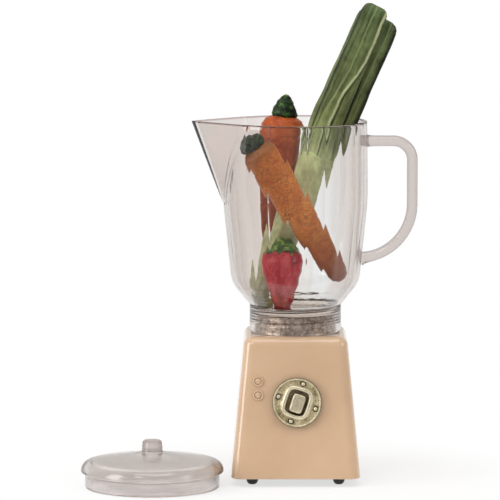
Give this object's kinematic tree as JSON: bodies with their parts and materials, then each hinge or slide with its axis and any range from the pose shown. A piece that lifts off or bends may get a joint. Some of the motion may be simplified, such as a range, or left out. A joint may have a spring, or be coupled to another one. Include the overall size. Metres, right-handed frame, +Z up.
{
  "type": "toy blender",
  "caption": "Doll's-house toy blender: painted tapered base with a turning dial, clear spouted jug with a bent-rod handle, clear lid laid beside it, and loose play vegetables in the jug.",
  "frame": {"origin": "on the floor under the middle of the base, in the plane of the four feet", "axes": "+Z up, -Y out of the face that carries the dial, +X towards the jug's handle, -X towards the spout"},
  "size_m": [0.0871, 0.0522, 0.124],
  "materials": {
    "peach_enamel": "glossy stoved enamel",
    "black_plastic": "moulded, fine grain",
    "screw_steel": "zinc plated",
    "dark_rubber": "smooth",
    "nickel_plate": "turned and plated",
    "antique_nickel": "cast, sand grained, darkened in the hollows",
    "clear_plastic": "clear, polished mould",
    "carrot_orange": "hand-painted clay",
    "leaf_green": "hand-painted clay",
    "strawberry_red": "hand-painted clay, satin",
    "leek_pale": "hand-painted clay",
    "leek_green": "hand-painted clay"
  },
  "bodies": {
    "base": {"base_housing": "peach_enamel", "base_cover": "black_plastic", "cover_screws": "screw_steel", "foot_front_left": "dark_rubber", "foot_front_right": "dark_rubber", "foot_rear_left": "dark_rubber", "foot_rear_right": "dark_rubber", "spigot": "nickel_plate", "spigot_screws": "screw_steel"},
    "dial": {"dial_plate": "antique_nickel", "dial_rivets": "antique_nickel", "dial_key": "antique_nickel", "dial_spindle": "screw_steel", "dial_clip": "screw_steel"},
    "jug": {"jug_bowl": "clear_plastic", "jug_collar": "clear_plastic", "jug_handle": "clear_plastic"},
    "lid": {"lid_shell": "clear_plastic", "lid_knob": "clear_plastic"},
    "leek": {"leek_stem": "leek_pale", "leek_leaf_rear": "leek_green", "leek_leaf_front": "leek_green"},
    "near_carrot": {"near_carrot": "carrot_orange", "near_carrot_top": "leaf_green"},
    "far_carrot": {"far_carrot": "carrot_orange", "far_carrot_top": "leaf_green"},
    "strawberry": {"strawberry": "strawberry_red", "strawberry_calyx": "leaf_green"}
  },
  "joints": [
    {"name": "dial_turn", "type": "hinge", "parent": "base", "child": "dial", "pos_m": [0.0003, -0.01483, 0.0219], "axis": [0, -0.9956, 0.0941], "continuous": true},
    {"name": "jug_lift", "type": "slide", "parent": "base", "child": "jug", "axis": [0, 0, 1], "range_m": [0, 0.02]},
    {"name": "lid_lift", "type": "slide", "parent": "base", "child": "lid", "axis": [0, 0, 1], "range_m": [0, 0.03]},
    {"name": "leek_lift", "type": "slide", "parent": "jug", "child": "leek", "axis": [0.3971, 0, 0.9178], "range_m": [0, 0.052]},
    {"name": "far_carrot_lift", "type": "slide", "parent": "jug", "child": "far_carrot", "axis": [0.1115, 0, 0.9938], "range_m": [0, 0.036]},
    {"name": "near_carrot_lift", "type": "slide", "parent": "jug", "child": "near_carrot", "axis": [0, 0, 1], "range_m": [0, 0.05]},
    {"name": "strawberry_lift", "type": "slide", "parent": "jug", "child": "strawberry", "axis": [0, 0, 1], "range_m": [0, 0.05]}
  ],
  "couplings": [
    {"joint": "strawberry_lift", "follows": "near_carrot_lift", "ratio": 1}
  ]
}
